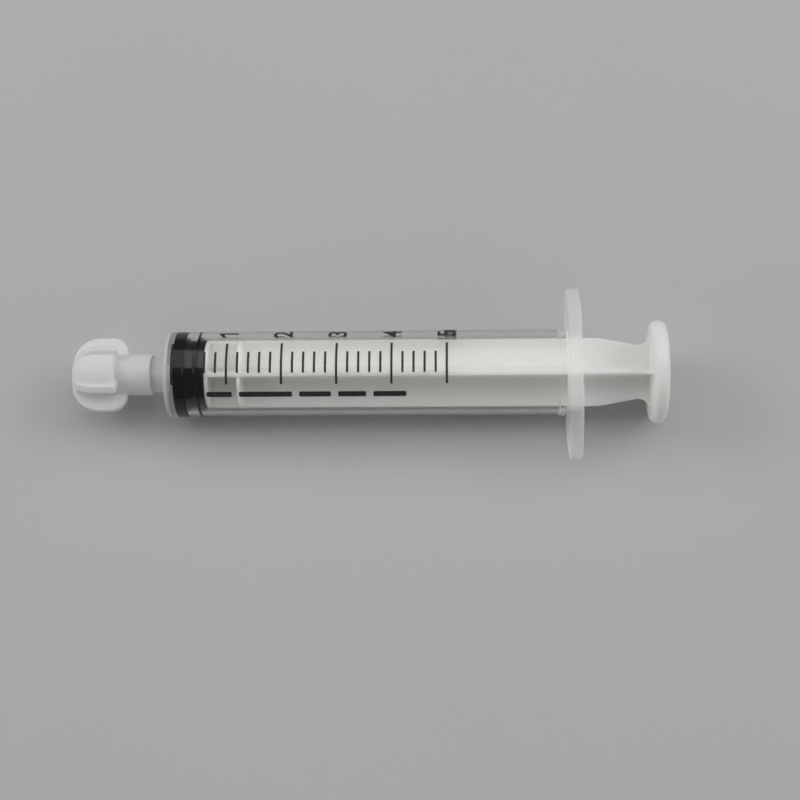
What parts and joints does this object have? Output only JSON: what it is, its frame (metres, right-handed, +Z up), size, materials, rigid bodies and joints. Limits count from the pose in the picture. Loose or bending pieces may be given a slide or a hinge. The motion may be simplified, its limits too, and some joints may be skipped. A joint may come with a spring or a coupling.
{
  "type": "oral syringe",
  "caption": "Oral syringe with a clear graduated barrel, finger flange, white ribbed plunger, black rubber piston and a push-on winged tip cap.",
  "frame": {"origin": "on the barrel's axis at the zero mark, where the inside of the barrel's front end meets its wall", "axes": "+X along the barrel from the tip to the thumb rest, +Y along a wing of the finger flange, +Z up, square to the flange's flats"},
  "size_m": [0.0954, 0.0288, 0.0164],
  "materials": {
    "clear_plastic": "clear, slightly hazy moulded polypropylene",
    "white_plastic": "satin moulded white polypropylene",
    "black_rubber": "smooth lubricated black rubber",
    "milky_plastic": "milky translucent moulded plastic",
    "black_ink": "matt printed ink"
  },
  "bodies": {
    "barrel": {"barrel": "clear_plastic", "scale_ticks": "black_ink", "scale_numerals": "black_ink", "legend_bars": "black_ink"},
    "piston": {"piston": "black_rubber"},
    "plunger": {"plunger": "white_plastic"},
    "tip_cap": {"tip_cap": "milky_plastic"}
  },
  "joints": [
    {"name": "piston_slide", "type": "slide", "parent": "barrel", "child": "piston", "axis": [1, 0, 0], "range_m": [0, 0.057]},
    {"name": "plunger_turn", "type": "hinge", "parent": "piston", "child": "plunger", "pos_m": [0, 0, 0], "axis": [1, 0, 0], "continuous": true},
    {"name": "cap_pull", "type": "slide", "parent": "barrel", "child": "tip_cap", "axis": [-1, 0, 0], "range_m": [0, 0.012]}
  ]
}
